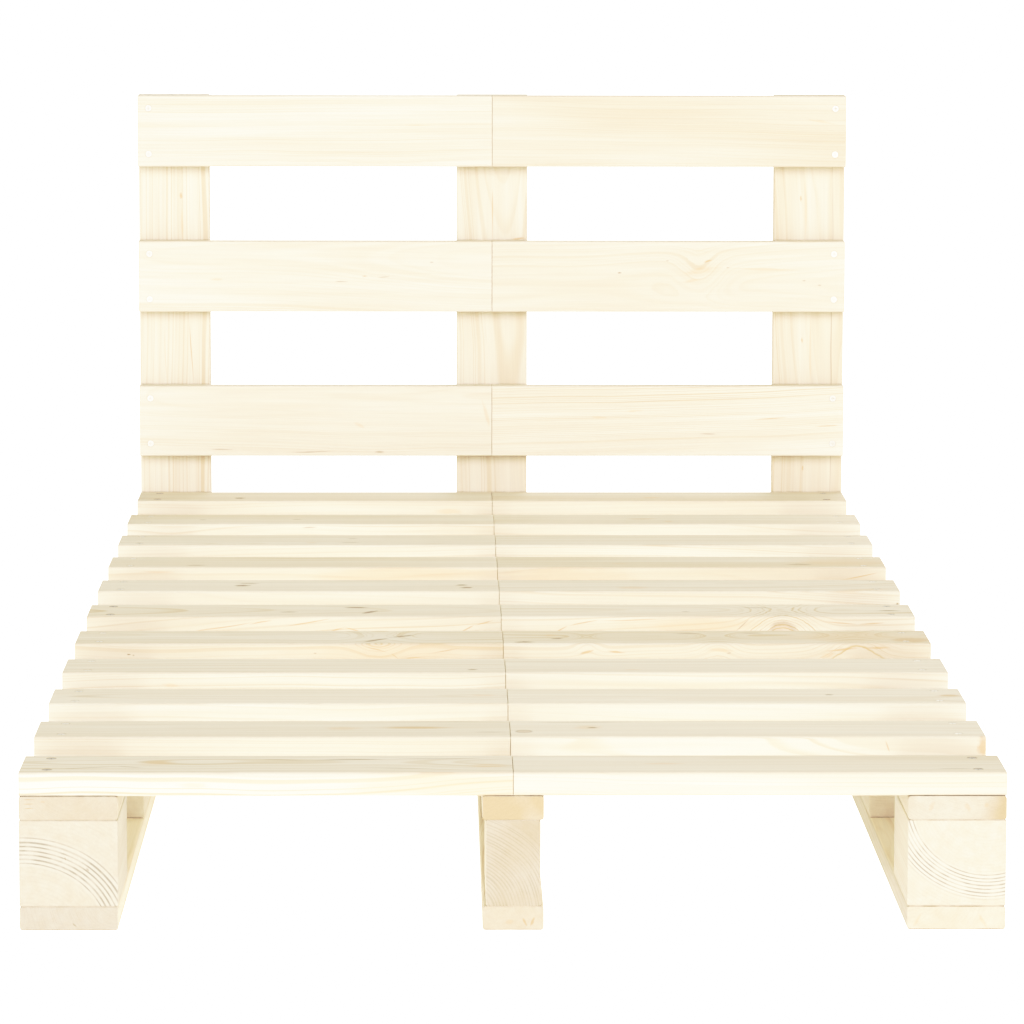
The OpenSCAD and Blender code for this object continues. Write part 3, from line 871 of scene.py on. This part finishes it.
def make_zinc(name, bright, metal, dullest):
    """Zinc on the screws of one node, duller on some than on others, with faint scuffs."""
    made = bpy.data.materials.new("zinc_" + name)
    made.use_nodes = True
    made.node_tree.nodes.clear()
    t = Tree(made.node_tree)
    where = t.add("ShaderNodeTexCoord").outputs["Object"]
    scuff = t.noise(where, scale=SCUFF_SCALE, detail=3.0)
    dull = t.ramp(t.noise(where, scale=DULL_SCALE, detail=0.0), *DULL_SPAN, 0.0, dullest)
    if name == "slat_screws":
        along = t.add("ShaderNodeSeparateXYZ", {"Vector": where}).outputs["Y"]
        for slat in DULL_ROWS:
            low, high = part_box(slat)
            here = t.math("COMPARE", along, (low.y + high.y) / 2, (high.y - low.y) / 2)
            dull = t.math("MAXIMUM", dull, here)
    tint = t.mix(dull, colour(ZINC_BRIGHT), colour(ZINC_DULL))
    tint = t.mix(scuff, tint, t.vector("SCALE", tint, scale=ZINC_SCUFFED))
    tint = t.vector("SCALE", tint, scale=bright)
    rough = t.ramp(scuff, *SCUFF_SPAN, *SCUFF_ROUGH)
    bump = t.add("ShaderNodeBump", {"Height": scuff, "Strength": SCUFF_BUMP, "Distance": SCUFF_HEIGHT})
    shader = t.add("ShaderNodeBsdfPrincipled", {"Base Color": tint, "Roughness": rough,
                                                "Normal": bump.outputs["Normal"]})
    shader.inputs["Metallic"].default_value = metal
    t.add("ShaderNodeOutputMaterial", {"Surface": shader.outputs[0]})
    return made


def dress_nodes():
    """Gives every piece of the frame its own pine, or its zinc."""
    for name, piece in sorted(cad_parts.items()):
        if name.endswith("_screws"):
            made = make_zinc(name, *ZINC.get(name, ZINC_USUAL))
        else:
            grain, contrast, shade = next(kind[1:] for kind in KINDS if name.startswith(kind[0]))
            made = make_pine(name, grain, contrast, shade)
        for place in piece.material_slots:
            place.material = made


def seen_white(t, surface, lift, glow=0.0):
    """surface with a glow, and with more by lift where the camera sees it, which lights nothing."""
    straight = t.add("ShaderNodeLightPath").outputs["Is Camera Ray"]
    glow = t.add("ShaderNodeEmission", {"Strength": t.math("MULTIPLY_ADD", straight, lift, glow)})
    return t.add("ShaderNodeAddShader", {0: surface, 1: glow.outputs[0]}).outputs[0]


def make_floor():
    """A wide white floor, lifted a little so that shadows stay faint."""
    half = FLOOR_HALF
    mesh = bpy.data.meshes.new("floor")
    mesh.from_pydata([(-half, -half, -FLOOR_DROP), (half, -half, -FLOOR_DROP), (half, half, -FLOOR_DROP),
                      (-half, half, -FLOOR_DROP)], [], [(0, 1, 2, 3)])
    floor = bpy.data.objects.new("floor", mesh)
    bpy.context.scene.collection.objects.link(floor)
    made = bpy.data.materials.new("white_floor")
    made.use_nodes = True
    made.node_tree.nodes.clear()
    t = Tree(made.node_tree)
    matt = t.add("ShaderNodeBsdfDiffuse", {"Color": colour((FLOOR_WHITE,) * 3)}).outputs[0]
    t.add("ShaderNodeOutputMaterial", {"Surface": seen_white(t, matt, FLOOR_LIFT, FLOOR_GLOW)})
    mesh.materials.append(made)


def make_lights():
    """White surroundings, which the camera sees brighter than they light, and the suns."""
    world = bpy.data.worlds.new("studio")
    world.use_nodes = True
    world.node_tree.nodes.clear()
    t = Tree(world.node_tree)
    sky = t.add("ShaderNodeBackground", {"Strength": SKY_STRENGTH}).outputs[0]
    sky.node.inputs["Color"].default_value = colour(SKY_TINT)
    t.add("ShaderNodeOutputWorld", {"Surface": seen_white(t, sky, BACKDROP_WHITE - SKY_STRENGTH)})
    bpy.context.scene.world = world
    for name, (strength, tint, height, turn, size) in SUNS.items():
        light = bpy.data.lights.new(name, "SUN")
        light.energy, light.color, light.angle = strength, tint, math.radians(size)
        sun = bpy.data.objects.new(name, light)
        sun.rotation_euler = Euler((math.radians(90 - height), 0, math.radians(turn)))
        bpy.context.scene.collection.objects.link(sun)


def make_camera():
    """The camera, with no depth of field and no shift."""
    data = bpy.data.cameras.new("camera")
    data.sensor_fit, data.sensor_width, data.lens = "HORIZONTAL", SENSOR, LENS
    data.clip_start, data.clip_end = CLIP_START, CLIP_END
    camera = bpy.data.objects.new("camera", data)
    camera.location = CAMERA_PLACE
    aim = Euler((math.radians(90 - CAMERA_PITCH), 0, math.radians(-CAMERA_YAW))).to_quaternion()
    camera.rotation_mode = "QUATERNION"
    camera.rotation_quaternion = aim @ Quaternion((0, 0, 1), math.radians(CAMERA_ROLL))
    bpy.context.scene.collection.objects.link(camera)
    bpy.context.scene.camera = camera


def set_colour_response():
    """A plain display response with a soft shoulder, so that pale wood keeps its grain in bright light."""
    settings = bpy.context.scene.view_settings
    settings.view_transform = "Standard"
    settings.look = "None"
    settings.exposure, settings.gamma = 0.0, 1.0
    settings.use_curve_mapping = True
    film = settings.curve_mapping
    film.white_level = (FILM_WHITE,) * 3
    curve = film.curves[-1]  # the one for all three colours
    curve.points[0].location, curve.points[1].location = FILM_SHOULDER[0], FILM_SHOULDER[-1]
    for x, y in FILM_SHOULDER[1:-1]:
        curve.points.new(x, y)
    film.update()


dress_nodes()
make_floor()
make_lights()
make_camera()
set_colour_response()

bpy.context.view_layer.update()
